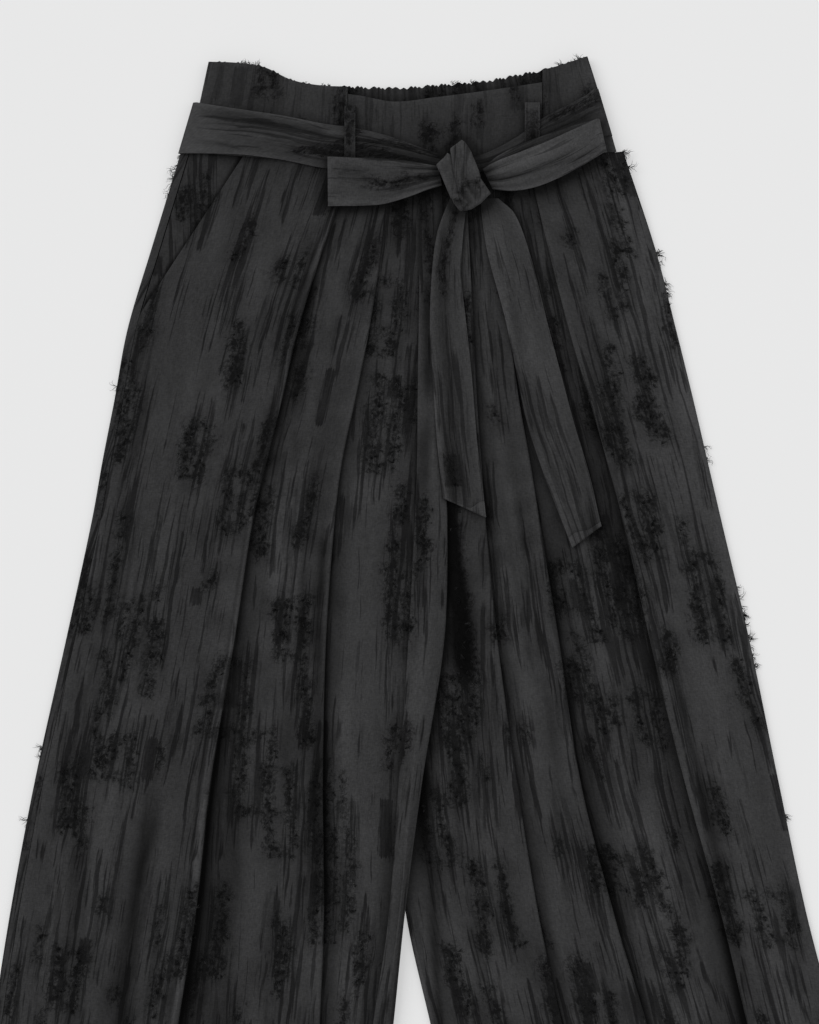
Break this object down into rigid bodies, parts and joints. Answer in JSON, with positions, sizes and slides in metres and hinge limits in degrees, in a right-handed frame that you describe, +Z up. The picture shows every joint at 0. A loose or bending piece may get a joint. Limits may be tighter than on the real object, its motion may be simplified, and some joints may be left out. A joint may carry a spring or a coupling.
{
  "type": "hakama trousers laid flat",
  "caption": "Wide-leg pleated hakama trousers laid flat on their back, with a gathered back waist and a sash tied in a bow.",
  "frame": {"origin": "middle of the garment, on the surface that it lies on", "axes": "+Y from the hems to the waist, +Z up from the surface, +X to the right as seen from above with the waist up"},
  "size_m": [0.8043, 0.987, 0.0302],
  "materials": {
    "leg_cloth": "charcoal twill with darker clipped streaks",
    "pocket_cloth": "plain charcoal twill",
    "waistband_cloth": "charcoal twill with darker clipped streaks",
    "sash_cloth": "charcoal twill with darker clipped streaks"
  },
  "bodies": {
    "root": {"front_left": "leg_cloth", "front_right": "leg_cloth", "back_left": "leg_cloth", "back_right": "leg_cloth", "pocket_facing_left": "pocket_cloth", "pocket_facing_right": "pocket_cloth", "waistband_front": "waistband_cloth", "waistband_back": "waistband_cloth", "belt_loop_front_left": "waistband_cloth", "belt_loop_front_right": "waistband_cloth", "belt_loop_back_left": "waistband_cloth", "belt_loop_back_right": "waistband_cloth", "sash_band": "sash_cloth", "bow_loop_left": "sash_cloth", "bow_loop_right": "sash_cloth", "bow_knot": "sash_cloth", "sash_tail_left": "sash_cloth", "sash_tail_right": "sash_cloth"}
  },
  "joints": []
}
